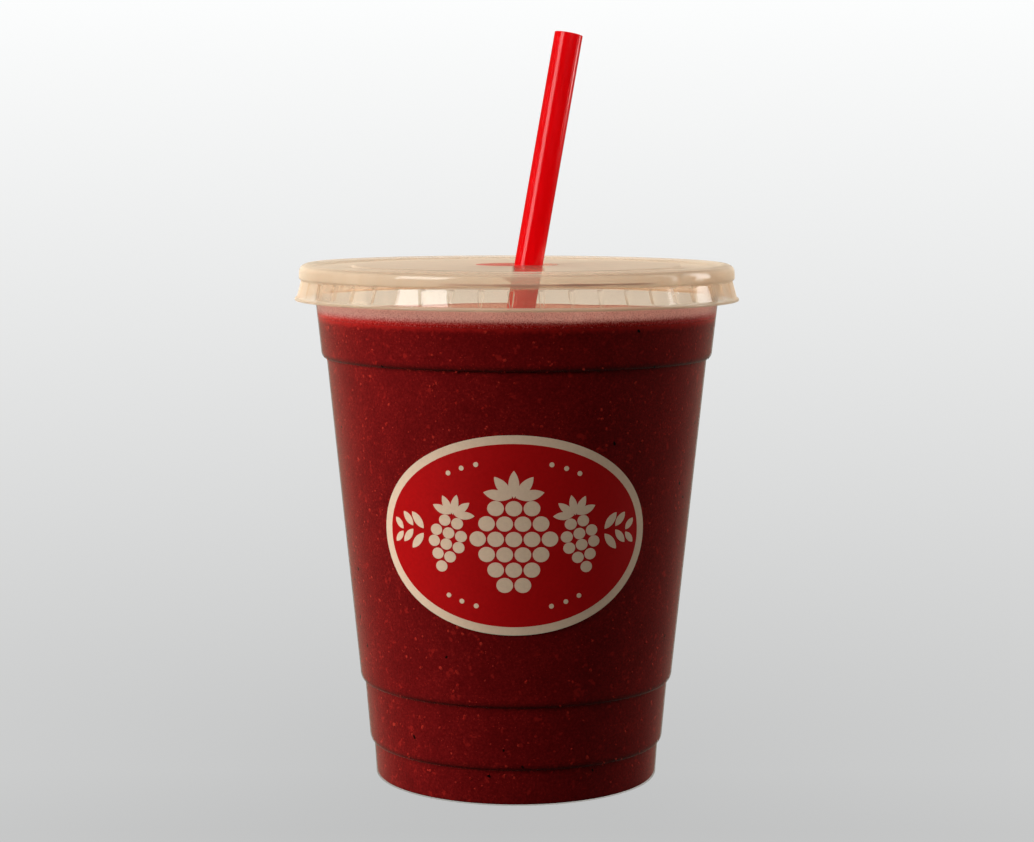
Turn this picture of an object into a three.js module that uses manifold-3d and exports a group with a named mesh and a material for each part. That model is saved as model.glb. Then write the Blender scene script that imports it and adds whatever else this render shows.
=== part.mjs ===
// A cold fruit smoothie to go: a clear stepped cup, the drink in it, a flat clear lid with a
// toothed skirt, a leaning straw through the lid's middle, and an oval label on the wall.
// Millimetres, +Z up. The origin is the middle of the foot, on the surface the cup stands on,
// and -Y is the side with the label.
import * as THREE from "three";
import { mergeVertices } from "three/addons/utils/BufferGeometryUtils.js";
import Module from "manifold-3d";

const wasm = await Module();
wasm.setup();

// ---- driving dimensions ---------------------------------------------------------------------

const SEGMENTS = 48; // facets round the axis, the same on every turned piece
const CLEARANCE = 0.3; // free gap between pieces that sit against each other

// Cup: a foot band, a low band, the tall body and a collar band, each a little wider than the
// one below it. Every band starts at a ledge whose lower edge curls in by a quarter ellipse.
const CUP_WALL = 0.7;
const CUP_FLOOR = 0.6;
const FOOT_HEIGHT = 0.5; // the underside is this far above the ground
const FOOT_WIDTH = 1.3; // flat ring that the cup stands on
const FOOT_ROUND = 0.6;
const LEDGE_RISE = 1.8; // height of the curl under each band
const LEDGE_STEPS = 3;
const BANDS = [
  // z of the ledge or foot, outer radius at the band's lower end, and at its upper end
  { z: 0, low: 32.75, high: 33.2 },
  { z: 8.1, low: 34.2, high: 35.3 },
  { z: 22.6, low: 36.35, high: 43.75 },
  { z: 97.4, low: 45.0, high: 46.7 },
];
const RIM_RADIUS = 49; // a standard 98 mm mouth
const RIM_TOP = 118.15;
const RIM_HEIGHT = 2.85;
const RIM_CORNERS = [
  // the rolled rim's corners: outward from the wall, and up from the rim's lower edge
  [1, 0],
  [2, 0.6],
  [2.3, 1.4],
  [1.9, 2.35],
  [0.9, RIM_HEIGHT],
  [-0.1, 2.45],
  [-0.5, 1.4],
];

const DRINK_LEVEL = 107.9;

// Lid: a bead that grips the rim, a flared skirt below it, and a sunken top with a raised
// middle disc and a round well where the straw goes in.
const LID_SHEET = 0.55;
const LID_STEP = 0.4; // how far a small step or edge in the sheet slopes sideways
const LID_TOP = 119.05; // crest of the bead
const LID_BEAD_RADIUS = 49.9;
const LID_CREST_RADIUS = 47.9;
const SKIRT_TOP = 115.2;
const LIP_RADIUS = 51;
const LIP_BOTTOM = 110.7;
const CHANNEL_RADIUS = 45.4; // outer edge of the sunken top
const CHANNEL_Z = 118.2;
const DISC_RADIUS = 37.6;
const DISC_Z = 118.7;
const WELL_RADIUS = 9.5;
const WELL_Z = 117.85;

// Teeth: tongue-shaped dents under the bead that catch below the cup's rim.
const TEETH = 48;
const TOOTH_TURN = THREE.MathUtils.degToRad(-1.4);
const TOOTH_WIDTH = 1.9;
const TOOTH_DEPTH = 0.5;
const TOOTH_HEIGHT = 3.5;

// Straw: a stiff tube that leans to +X and slightly to +Y.
const STRAW_RADIUS = 3.25;
const STRAW_BORE = 2.8;
const STRAW_SIDES = 20;
const STRAW_ROOM_SIDES = 10; // facets of the channel that the straw takes up in other pieces
const STRAW_CROSSING = new THREE.Vector3(2.7, 0, 118.6); // where its axis meets the lid
const STRAW_TOP_Z = 171.4;
const STRAW_BOTTOM_Z = 4.6;
const STRAW_LEAN_X = Math.tan(THREE.MathUtils.degToRad(9.8));
const STRAW_LEAN_Y = Math.tan(THREE.MathUtils.degToRad(4));

// Label: an ellipse in the wall's own unrolled surface.
const LABEL_HALF_WIDTH = 31.25;
const LABEL_HALF_HEIGHT = 22.2;
const LABEL_Z = 61.7;
const LABEL_TURN = THREE.MathUtils.degToRad(-0.8);
const LABEL_SHEET = 0.25;
const LABEL_GAP = 0.12;
const LABEL_POINTS = 48;

// ---- solids ---------------------------------------------------------------------------------

function toSolid(geometry) {
  const bare = geometry.clone();
  bare.deleteAttribute("normal");
  bare.deleteAttribute("uv");
  const merged = mergeVertices(bare, 1e-3);
  return new wasm.Manifold(
    new wasm.Mesh({
      numProp: 3,
      vertProperties: new Float32Array(merged.attributes.position.array),
      triVerts: new Uint32Array(merged.index.array),
    }),
  );
}

function toGeometry(solid) {
  const { vertProperties, triVerts } = solid.getMesh();
  const indexed = new THREE.BufferGeometry()
    .setAttribute("position", new THREE.BufferAttribute(vertProperties, 3))
    .setIndex(new THREE.BufferAttribute(triVerts, 1));
  const faceted = indexed.toNonIndexed();
  faceted.computeVertexNormals();
  return faceted;
}

// Turns a profile of [radius, z] points about +Z. The profile runs with the solid on its left.
function turned(profile, segments = SEGMENTS) {
  const points = profile.map(([radius, z]) => new THREE.Vector2(radius, z));
  return new THREE.LatheGeometry(points, segments).rotateX(Math.PI / 2);
}

// A quarter ellipse from the point `from` to the point `to`. It leaves `from` along the axis
// and reaches `to` across it.
function quarterCurl([fromRadius, fromZ], [toRadius, toZ], steps) {
  return Array.from({ length: steps + 1 }, (_, i) => {
    const angle = (i / steps) * (Math.PI / 2);
    return [
      toRadius + (fromRadius - toRadius) * Math.cos(angle),
      fromZ + (toZ - fromZ) * Math.sin(angle),
    ];
  });
}

// ---- cup ------------------------------------------------------------------------------------

// The wall from just above the foot to `top`, moved in by `inset` and, at the ledges, up by
// `lift`, so that an inset wall keeps its distance from a ledge too.
function wallProfile(inset, lift, bottom, top) {
  const points = [[BANDS[0].low - inset, bottom]];
  BANDS.forEach((band, i) => {
    const above = BANDS[i + 1];
    if (!above) {
      const share = (top - band.z) / (RIM_TOP - RIM_HEIGHT - band.z);
      points.push([THREE.MathUtils.lerp(band.low, band.high, share) - inset, top]);
      return;
    }
    const ledge = above.z + lift;
    const curl = quarterCurl(
      [above.low - inset, ledge + LEDGE_RISE],
      [band.high - inset, ledge],
      LEDGE_STEPS,
    );
    points.push(...curl.reverse());
  });
  return points;
}

function cupSolid() {
  const rimBottom = RIM_TOP - RIM_HEIGHT;
  const wallTop = BANDS.at(-1).high;
  const footOuter = BANDS[0].low - FOOT_ROUND;
  const outside = wallProfile(0, 0, FOOT_ROUND, rimBottom);
  const inside = wallProfile(CUP_WALL, LEDGE_RISE / 4, FOOT_HEIGHT + CUP_FLOOR, rimBottom);
  const rim = RIM_CORNERS.map(([outward, up]) => [wallTop + outward, rimBottom + up]);
  return toSolid(
    turned([
      [0, FOOT_HEIGHT],
      [footOuter - FOOT_WIDTH - FOOT_HEIGHT, FOOT_HEIGHT],
      [footOuter - FOOT_WIDTH, 0],
      [footOuter, 0],
      ...outside,
      ...rim,
      ...inside.reverse(),
      [0, FOOT_HEIGHT + CUP_FLOOR],
    ]),
  );
}

// ---- straw ----------------------------------------------------------------------------------

const strawDirection = new THREE.Vector3(STRAW_LEAN_X, STRAW_LEAN_Y, 1).normalize();
const strawTurn = new THREE.Quaternion().setFromUnitVectors(
  new THREE.Vector3(0, 0, 1),
  strawDirection,
);

function strawPoint(z) {
  const along = (z - STRAW_CROSSING.z) / strawDirection.z;
  return STRAW_CROSSING.clone().addScaledVector(strawDirection, along);
}

function strawGeometry() {
  const length = strawPoint(STRAW_TOP_Z).distanceTo(strawPoint(STRAW_BOTTOM_Z));
  const section = [
    [STRAW_BORE, 0],
    [STRAW_RADIUS, 0],
    [STRAW_RADIUS, length],
    [STRAW_BORE, length],
    [STRAW_BORE, 0],
  ];
  return turned(section, STRAW_SIDES);
}

// The room the straw takes up, wider than the straw by the clearance and longer at both ends.
// Its facets, not only its corners, keep that distance.
function strawRoom() {
  const radius = (STRAW_RADIUS + CLEARANCE) / Math.cos(Math.PI / STRAW_ROOM_SIDES);
  const reach = STRAW_TOP_Z - STRAW_BOTTOM_Z;
  const below = strawPoint(STRAW_BOTTOM_Z).addScaledVector(strawDirection, -CLEARANCE);
  const plug = turned([[0, 0], [radius, 0], [radius, reach], [0, reach]], STRAW_ROOM_SIDES);
  plug.applyQuaternion(strawTurn).translate(below.x, below.y, below.z);
  return toSolid(plug);
}

// ---- drink ----------------------------------------------------------------------------------

function drinkSolid() {
  const inset = CUP_WALL + CLEARANCE;
  const lift = LEDGE_RISE / 4 + CLEARANCE;
  const bottom = FOOT_HEIGHT + CUP_FLOOR + CLEARANCE;
  const body = turned([
    [0, bottom],
    ...wallProfile(inset, lift, bottom, DRINK_LEVEL),
    [0, DRINK_LEVEL],
  ]);
  return toSolid(body).subtract(strawRoom());
}

// ---- lid ------------------------------------------------------------------------------------

function lidBlank() {
  const rimClear = RIM_RADIUS + CLEARANCE;
  const under = LID_TOP - LID_SHEET;
  const outside = [
    [LIP_RADIUS, LIP_BOTTOM],
    [LIP_RADIUS, LIP_BOTTOM + LID_STEP],
    [LIP_RADIUS - LID_STEP, LIP_BOTTOM + 3 * LID_STEP],
    [LID_BEAD_RADIUS - 0.1, SKIRT_TOP],
    [LID_BEAD_RADIUS, SKIRT_TOP + 1],
    [LID_BEAD_RADIUS - 0.1, LID_TOP - 1.5],
    [LID_BEAD_RADIUS - 0.7, LID_TOP - 0.5],
    [LID_CREST_RADIUS, LID_TOP],
    [LID_CREST_RADIUS - 1.2, LID_TOP - 0.2],
    [CHANNEL_RADIUS, CHANNEL_Z],
    [DISC_RADIUS + LID_STEP, CHANNEL_Z],
    [DISC_RADIUS - LID_STEP, DISC_Z],
    [WELL_RADIUS, DISC_Z],
    [WELL_RADIUS - LID_STEP, WELL_Z],
    [0, WELL_Z],
  ];
  const inside = [
    [0, WELL_Z - LID_SHEET],
    [WELL_RADIUS, WELL_Z - LID_SHEET],
    [WELL_RADIUS + LID_STEP, DISC_Z - LID_SHEET],
    [DISC_RADIUS - 2 * LID_STEP, DISC_Z - LID_SHEET],
    [DISC_RADIUS, CHANNEL_Z - LID_SHEET],
    [CHANNEL_RADIUS + LID_STEP, CHANNEL_Z - LID_SHEET],
    [LID_CREST_RADIUS - 0.8, under],
    [LID_CREST_RADIUS + 0.8, under],
    [rimClear, LID_TOP - 1.5],
    [rimClear, RIM_TOP - RIM_HEIGHT],
    [rimClear - 0.5, RIM_TOP - RIM_HEIGHT - 0.6],
    [LIP_RADIUS - LID_SHEET - LID_STEP, LIP_BOTTOM + LID_STEP],
    [LIP_RADIUS - LID_SHEET - LID_STEP, LIP_BOTTOM],
  ];
  return toSolid(turned([...outside, ...inside, outside[0]]));
}

// One dent: a four-sided spike lying in the skirt, wide under the bead and pointed at the lip.
function toothSolid(index) {
  const flare = Math.atan2(LIP_RADIUS - LID_BEAD_RADIUS, SKIRT_TOP - LIP_BOTTOM);
  const angle = TOOTH_TURN - Math.PI / 2 + (index * 2 * Math.PI) / TEETH;
  const cone = new THREE.ConeGeometry(TOOTH_WIDTH / 2, TOOTH_HEIGHT, 4);
  cone.rotateX(-Math.PI / 2); // the point is now down
  cone.scale((2 * TOOTH_DEPTH) / TOOTH_WIDTH, 1, 1);
  cone.translate(0, 0, -TOOTH_HEIGHT / 2);
  cone.rotateY(-flare);
  cone.translate(LID_BEAD_RADIUS, 0, SKIRT_TOP - 0.2);
  cone.rotateZ(angle);
  return toSolid(cone);
}

function lidSolid() {
  const teeth = Array.from({ length: TEETH }, (_, i) => toothSolid(i));
  return lidBlank().subtract(wasm.Manifold.union(teeth)).subtract(strawRoom());
}

// ---- label ----------------------------------------------------------------------------------

// The label follows the facets of the tall body, so that it lies flat on each of them.
function bodyRadius(z) {
  const body = BANDS[2];
  const share = (z - body.z - LEDGE_RISE) / (BANDS[3].z - body.z - LEDGE_RISE);
  return THREE.MathUtils.lerp(body.low, body.high, share);
}

function labelSolid() {
  const low = LABEL_Z - LABEL_HALF_HEIGHT - 1;
  const high = LABEL_Z + LABEL_HALF_HEIGHT + 1;
  const inner = LABEL_GAP;
  const outer = LABEL_GAP + LABEL_SHEET;
  const sleeve = turned([
    [bodyRadius(low) + inner, low],
    [bodyRadius(low) + outer, low],
    [bodyRadius(high) + outer, high],
    [bodyRadius(high) + inner, high],
    [bodyRadius(low) + inner, low],
  ]);
  const outline = Array.from({ length: LABEL_POINTS }, (_, i) => {
    const angle = (i / LABEL_POINTS) * 2 * Math.PI;
    const z = LABEL_Z + LABEL_HALF_HEIGHT * Math.sin(angle);
    const radius = bodyRadius(z);
    const along = LABEL_HALF_WIDTH * Math.cos(angle);
    return new THREE.Vector2(radius * Math.sin(along / radius), z);
  });
  const depth = 2 * RIM_RADIUS;
  const stamp = new THREE.ExtrudeGeometry(new THREE.Shape(outline), {
    depth,
    bevelEnabled: false,
  });
  stamp.rotateX(Math.PI / 2).rotateZ(LABEL_TURN);
  return toSolid(sleeve).intersect(toSolid(stamp));
}

// ---- the scene graph ------------------------------------------------------------------------

const clearPlastic = { roughness: 0.08, metalness: 0, transparent: true };

function piece(name, geometry, look) {
  const mesh = new THREE.Mesh(geometry, new THREE.MeshStandardMaterial(look));
  mesh.name = name;
  return mesh;
}

const cup = piece("cup", toGeometry(cupSolid()), {
  ...clearPlastic,
  color: 0xeadcc8,
  opacity: 0.3,
});

const drink = piece("smoothie", toGeometry(drinkSolid()), {
  color: 0x7a1013,
  roughness: 0.45,
  metalness: 0,
});

const lid = piece("lid", toGeometry(lidSolid()), {
  ...clearPlastic,
  color: 0xe3ccb2,
  opacity: 0.45,
});

const straw = piece("straw", strawGeometry(), {
  color: 0xd80a12,
  roughness: 0.25,
  metalness: 0,
});
straw.position.copy(strawPoint(STRAW_BOTTOM_Z));
straw.quaternion.copy(strawTurn);

const label = piece("label", toGeometry(labelSolid()), {
  color: 0xb01418,
  roughness: 0.4,
  metalness: 0,
});

const smoothie = new THREE.Group();
smoothie.add(cup, drink, lid, straw, label);

export default smoothie;
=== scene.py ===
"""The looks of a raspberry smoothie to go: clear cup, drink, lid, straw and label.

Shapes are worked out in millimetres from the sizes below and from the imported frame, and
scaled to metres when a mesh is made. +Z is up and -Y is the side with the label.
"""

import math
import random

import bpy
import numpy as np
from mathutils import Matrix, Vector


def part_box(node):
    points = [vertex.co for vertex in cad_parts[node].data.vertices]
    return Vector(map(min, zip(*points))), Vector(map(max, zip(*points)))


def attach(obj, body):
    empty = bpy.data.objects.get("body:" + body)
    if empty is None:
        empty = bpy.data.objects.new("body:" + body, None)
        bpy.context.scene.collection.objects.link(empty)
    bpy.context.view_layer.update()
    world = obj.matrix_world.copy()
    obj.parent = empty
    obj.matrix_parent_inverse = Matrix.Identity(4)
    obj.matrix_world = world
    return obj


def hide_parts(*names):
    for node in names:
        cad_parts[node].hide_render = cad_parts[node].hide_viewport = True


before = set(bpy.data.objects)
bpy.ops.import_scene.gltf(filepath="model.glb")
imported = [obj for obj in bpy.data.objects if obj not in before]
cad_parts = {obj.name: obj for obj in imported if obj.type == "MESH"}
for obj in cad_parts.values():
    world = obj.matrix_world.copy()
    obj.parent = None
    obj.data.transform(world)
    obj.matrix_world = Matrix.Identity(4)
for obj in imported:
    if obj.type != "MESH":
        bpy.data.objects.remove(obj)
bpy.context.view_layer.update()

MM = 0.001  # metres in a millimetre
ROUND = 192  # columns of a turned piece
rng = random.Random(7)


def box_mm(node):
    """Lowest and highest corner of a CAD node, in millimetres."""
    low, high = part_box(node)
    return low / MM, high / MM


def tube_ends(node):
    """Middle of the lower and of the upper end of a straight CAD tube, in millimetres."""
    corners = sorted((v.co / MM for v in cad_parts[node].data.vertices), key=lambda p: p.z)
    half = len(corners) // 2
    return tuple(sum(ring, Vector()) / half for ring in (corners[:half], corners[-half:]))


# ---- sizes, in millimetres ------------------------------------------------------------------

CUP_HIGH = box_mm("cup")[1]
LID_LOW, LID_HIGH = box_mm("lid")
DRINK_HIGH = box_mm("smoothie")[1]
LABEL_LOW, LABEL_HIGH = box_mm("label")
STRAW_FOOT, STRAW_HEAD = tube_ends("straw")

# The wall: a foot band, a low band, the tall body and a collar, each starting at a ledge.
# z of the ledge or foot, outer radius at the band's lower end, and at its upper end
BANDS = ((0, 32.75, 33.2), (8.1, 34.2, 35.3), (22.6, 36.35, 43.75), (97.4, 45.0, 46.7))
LEDGE_RISE = 1.8
LEDGE_LIFT = 0.25  # the inner skin's ledges sit this much higher than the outer skin's
WALL = 0.55
CUP_FLOOR = 0.8  # the inside of the floor
FLOOR_RISE = 0.12  # the underside is this far above the ground
FOOT_WIDTH = 1.3
FOOT_ROUND = 0.6
RIM_TOP = CUP_HIGH.z
RIM_RADIUS = CUP_HIGH.x
RIM_HEIGHT = 2.85

DRINK_INSET = 0.22  # from the wall's outside: the drink reaches into the wall, with no air gap
DRINK_BOTTOM = FLOOR_RISE + 0.1
DRINK_TOP = DRINK_HIGH.z
FROTH_TOP = LID_LOW.z + 0.3
FROTH_FILM = 0.1
PULP_COUNT, PULP_LOWEST = 6000, 3.4
SEED_COUNT = 90
WIDEST = 46.0  # radius of the wall at which no fleck is left out

LID_SHEET = 0.45
LID_TOP = LID_HIGH.z
LIP_RADIUS = LID_HIGH.x
LIP_BOTTOM = LID_LOW.z
BEAD_RADIUS = 49.9
CREST_RADIUS = 47.9
SKIRT_TOP = 115.2
CHANNEL_RADIUS = 45.4
CHANNEL_Z = 118.2
DISC_RADIUS = 37.6
DISC_Z = 118.7
WELL_RADIUS = 9.5
WELL_Z = 117.85
SLOT_RADIUS = 6.6  # the cross slot's arms, which part into four flaps round the straw
FLAP_GAP = 0.25  # between the straw and the flaps that it bends down
TEETH = 48
TOOTH_TURN = math.radians(-1.4)
TOOTH_HALF_WIDTH = 0.85
TOOTH_TIP = 0.34  # half width at the lower end
TOOTH_DEPTH = 0.75
TOOTH_HEIGHT = 3.6

STRAW_RADIUS = 3.25
STRAW_BORE = 2.85
STRAW_EDGE = 0.14  # rounding of its ends

LABEL_HALF_WIDTH = 31.25  # along the wall
LABEL_HALF_HEIGHT = (LABEL_HIGH.z - LABEL_LOW.z) / 2
LABEL_Z = (LABEL_HIGH.z + LABEL_LOW.z) / 2
LABEL_TURN = math.radians(-0.8)
LABEL_BORDER = 1.9
LABEL_SHEET = 0.14
INK = 0.05  # how far the pattern stands proud of the label


# ---- mesh helpers ---------------------------------------------------------------------------


def add_piece(name, vertices, faces, material, sharp=40, replaces=None):
    """A mesh piece from millimetre points. It rides on the one body."""
    mesh = bpy.data.meshes.new(name)
    mesh.from_pydata((np.asarray(vertices, float) * MM).tolist(), [], faces)
    mesh.validate()
    mesh.polygons.foreach_set("use_smooth", [True] * len(mesh.polygons))
    mesh.set_sharp_from_angle(angle=math.radians(sharp))
    for item in material if isinstance(material, (list, tuple)) else [material]:
        mesh.materials.append(item)
    piece = bpy.data.objects.new(name, mesh)
    bpy.context.scene.collection.objects.link(piece)
    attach(piece, "root")
    if replaces:
        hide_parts(replaces)
    return piece


def rounded(corners, steps=6):
    """The outline through (radius, z, rounding) corners, with each corner rounded off."""
    points = []
    for i, (radius, z, rounding) in enumerate(corners):
        here = np.array([radius, z], float)
        if rounding == 0 or i in (0, len(corners) - 1):
            points.append(here)
            continue
        before = np.array(corners[i - 1][:2], float) - here
        after = np.array(corners[i + 1][:2], float) - here
        start = here + before * min(rounding / np.linalg.norm(before), 0.5)
        end = here + after * min(rounding / np.linalg.norm(after), 0.5)
        for k in np.linspace(0, 1, steps):
            points.append((1 - k) ** 2 * start + 2 * k * (1 - k) * here + k**2 * end)
    return [tuple(p) for p in points]


def whole_turn(count):
    """Evenly spaced angles round the axis."""
    return np.linspace(0, 2 * math.pi, count, endpoint=False)


def turned(profile, angles=None, closed=False):
    """Vertices and faces of (radius, z) points turned about Z. Points on the axis are poles.
    `angles` is a list, or a function that gives each (radius, z) point's own list."""
    if angles is None:
        angles = whole_turn(ROUND)
    angles_at = angles if callable(angles) else lambda radius, z: angles
    columns = len(angles_at(1, 0))
    on_axis = 1e-6
    vertices, rows = [], []
    for radius, z in profile:
        first = len(vertices)
        if radius < on_axis:
            vertices.append((0, 0, z))
            rows.append([first] * columns)
        else:
            turns = angles_at(radius, z)
            vertices.extend(zip(radius * np.cos(turns), radius * np.sin(turns), [z] * columns))
            rows.append(list(range(first, first + columns)))
    faces = []
    for low, high in zip(rows, rows[1:] + rows[:1] if closed else rows[1:]):
        for i in range(columns):
            j = (i + 1) % columns
            loop = [low[i], low[j], high[j], high[i]]
            face = [v for k, v in enumerate(loop) if v != loop[k - 1]]
            if len(face) > 2:
                faces.append(face)
    return np.array(vertices, float), faces


def quarter_curl(start, end, steps=10):
    """A quarter ellipse that leaves `start` along the axis and reaches `end` across it."""
    across, along = start[0] - end[0], end[1] - start[1]
    turns = np.linspace(0, math.pi / 2, steps)
    return [(end[0] + across * math.cos(t), start[1] + along * math.sin(t)) for t in turns]


def wall_profile(inset, lift, bottom, top):
    """The wall's outline moved in by `inset` and, at the ledges, up by `lift`."""
    points = [(BANDS[0][1] - inset, bottom)]
    for band, above in zip(BANDS, BANDS[1:]):
        ledge = above[0] + lift
        curl = quarter_curl((above[1] - inset, ledge + LEDGE_RISE), (band[2] - inset, ledge))
        points += curl[::-1]
    z, low, high = BANDS[-1]
    share = (top - z - lift - LEDGE_RISE) / (RIM_TOP - RIM_HEIGHT - z - LEDGE_RISE)
    points.append((low + (high - low) * share - inset, top))
    return points


def body_radius(z):
    """Outer radius of the tall body at height z."""
    low, high = BANDS[2], BANDS[3]
    share = (z - low[0] - LEDGE_RISE) / (high[0] - low[0] - LEDGE_RISE)
    return low[1] + (low[2] - low[1]) * share


def wall_radius(z):
    """Outer radius of the wall at any height."""
    points = wall_profile(0, 0, 0, RIM_TOP - RIM_HEIGHT)
    radii, heights = zip(*points)
    return float(np.interp(z, heights, radii))


def merge(parts):
    """Joins (vertices, faces) pairs into one."""
    vertices, faces, first = [], [], 0
    for points, polygons in parts:
        vertices.append(np.asarray(points, float).reshape(-1, 3))
        faces += [[v + first for v in face] for face in polygons]
        first += len(points)
    return np.vstack(vertices), faces


# ---- material helpers -----------------------------------------------------------------------


class Nodes:
    """A short way to write a node tree: each call adds a node and links its inputs. An input is
    given by its name, with _ for a space, or as i0, i1 and so on by its number."""

    def __init__(self, name):
        self.material = bpy.data.materials.new(name)
        self.material.use_nodes = True
        self.tree = self.material.node_tree
        self.tree.nodes.clear()
        self.output = self.tree.nodes.new("ShaderNodeOutputMaterial")

    def add(self, kind, out=0, settings=None, **inputs):
        node = self.tree.nodes.new("ShaderNode" + kind)
        for key, value in (settings or {}).items():
            setattr(node, key, value)
        for key, value in inputs.items():
            numbered = key[0] == "i" and key[1:].isdigit()
            socket = node.inputs[int(key[1:]) if numbered else key.replace("_", " ")]
            if isinstance(value, bpy.types.NodeSocket):
                self.tree.links.new(value, socket)
            elif value is not None:
                socket.default_value = value
        return node.outputs[out]

    def math(self, operation, *values, clamp=False):
        inputs = {f"i{i}": v for i, v in enumerate(values)}
        return self.add("Math", settings={"operation": operation, "use_clamp": clamp}, **inputs)

    def ramp(self, factor, *stops):
        """Colour ramp through (position, (r, g, b)) stops."""
        node = self.tree.nodes.new("ShaderNodeValToRGB")
        elements = node.color_ramp.elements
        while len(elements) < len(stops):
            elements.new(0.5)
        for element, (position, colour) in zip(elements, stops):
            element.position = position
            element.color = (*colour, 1)
        self.tree.links.new(factor, node.inputs[0])
        return node.outputs[0]

    def span(self, value, low, high, to_low=0.0, to_high=1.0, smooth=False):
        """Maps low..high to to_low..to_high, clamped."""
        kind = {"interpolation_type": "SMOOTHSTEP" if smooth else "LINEAR"}
        return self.add("MapRange", settings=kind, i0=value, i1=low, i2=high, i3=to_low, i4=to_high)

    def blend(self, factor, first, second):
        """Mix of two colours."""
        kind = {"data_type": "RGBA", "clamp_factor": True}
        return self.add("Mix", out=2, settings=kind, i0=factor, i6=first, i7=second)

    def position(self):
        return self.add("TexCoord", out=3)

    def coordinate(self, axis):
        """The x, y or z of the point, in metres."""
        return self.add("SeparateXYZ", out="xyz".index(axis), Vector=self.position())

    def noise(self, scale, detail=2.0, roughness=0.5, vector=None):
        """Noise with features about 1/scale metres across."""
        grain = {"Scale": scale, "Detail": detail, "Roughness": roughness}
        return self.add("TexNoise", Vector=vector or self.position(), **grain)

    def bump(self, height, strength, distance):
        return self.add("Bump", Strength=strength, Distance=distance, Height=height)

    def principled(self, colour, roughness, specular, normal, **more):
        inputs = {"Base_Color": colour, "Roughness": roughness, "Specular_IOR_Level": specular}
        return self.add("BsdfPrincipled", Normal=normal, **inputs, **more)

    def mix(self, share, first, second):
        """Mix of two shaders."""
        return self.add("MixShader", i0=share, i1=first, i2=second)

    def done(self, shader):
        self.tree.links.new(shader, self.output.inputs[0])
        return self.material


def grey(value):
    return (value, value, value, 1)


CLEARED = 0.07  # the share of a clear plastic's milk that its clearer strip keeps


def clear_plastic(name, tint, body, milk, mirror, roughness, ripple, backlit=0.0, zones=None,
                  clearer=None):
    """Clear, faintly milky plastic. It passes `tint` and mirrors its surroundings. `milk` and
    `mirror` each give a share face on and a share along the surface, and how late it rises.
    `backlit` is the share of the milk's light that comes through from behind, and `zones` adds
    milk where sheets lie double: stops of (height in mm, share). `clearer` is a strip in front
    of the axis, (middle x, half width, reach) in mm, that stays clear along the surface."""
    n = Nodes(name)
    facing = n.add("LayerWeight", out=1, Blend=0.5)
    cloud = n.noise(220, 3)
    waves = n.bump(n.noise(140, 2), ripple, 0.0006)
    shade = n.blend(n.span(cloud, 0.35, 0.65), (*body, 1), (*[c * 0.93 for c in body], 1))
    solid = n.principled(shade, 0.5, 0.0, waves)
    passing = n.add("BsdfTranslucent", Color=(0.78, 0.7, 0.6, 1))
    solid = n.mix(backlit, solid, passing)
    through = n.add("BsdfTransparent", Color=(*tint, 1))
    milky = n.span(n.math("POWER", facing, milk[2]), 0, 1, milk[0], milk[1])
    if zones:
        low, high = zones[0][0], zones[-1][0]
        height = n.span(n.coordinate("z"), low * MM, high * MM)
        stops = [((z - low) / (high - low), (share,) * 3) for z, share in zones]
        milky = n.math("MAXIMUM", milky, n.ramp(height, *stops))
    if clearer:
        middle, half_width, reach = clearer
        y = n.coordinate("y")
        aside = n.math("ABSOLUTE", n.math("SUBTRACT", n.coordinate("x"), middle * MM))
        inside = n.span(aside, (half_width + 0.5) * MM, (half_width - 0.2) * MM)
        inside = n.math("MULTIPLY", inside, n.span(y, 1 * MM, -1 * MM))
        inside = n.math("MULTIPLY", inside, n.span(y, -reach * MM, (1 - reach) * MM))
        clear_milk = n.math("MULTIPLY", milky, CLEARED)
        milky = n.add("Mix", i0=inside, i2=milky, i3=clear_milk)
    sheet = n.mix(milky, through, solid)
    shiny = n.span(n.math("POWER", facing, mirror[2]), 0, 1, mirror[0], mirror[1])
    gloss = n.add("BsdfGlossy", Roughness=roughness, Color=grey(0.95), Normal=waves)
    return n.done(n.mix(shiny, sheet, gloss))


def cup_material():
    return clear_plastic(
        "clear_cup",
        tint=(1.0, 0.975, 0.945),
        body=(0.7, 0.5, 0.34),
        milk=(0.0, 0.24, 5),
        mirror=(0.03, 0.8, 5),
        roughness=0.12,
        ripple=0.05,
    )


def lid_material():
    return clear_plastic(
        "clear_lid",
        tint=(1.0, 0.955, 0.895),
        body=(0.81, 0.7, 0.54),
        milk=(0.09, 0.97, 2.5),
        mirror=(0.03, 0.2, 5),
        roughness=0.05,
        ripple=0.06,
        backlit=0.4,
        zones=(
            (LIP_BOTTOM, 0.42),
            (LIP_BOTTOM + 0.7, 0.4),
            (LIP_BOTTOM + 1.0, 0.1),
            (SKIRT_TOP, 0.13),
            (SKIRT_TOP + 0.5, 0.4),
            (LID_TOP - 1.0, 0.4),
            (LID_TOP, 0.14),
        ),
        clearer=(2.5, STRAW_RADIUS, CHANNEL_RADIUS + 0.8),
    )


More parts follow.
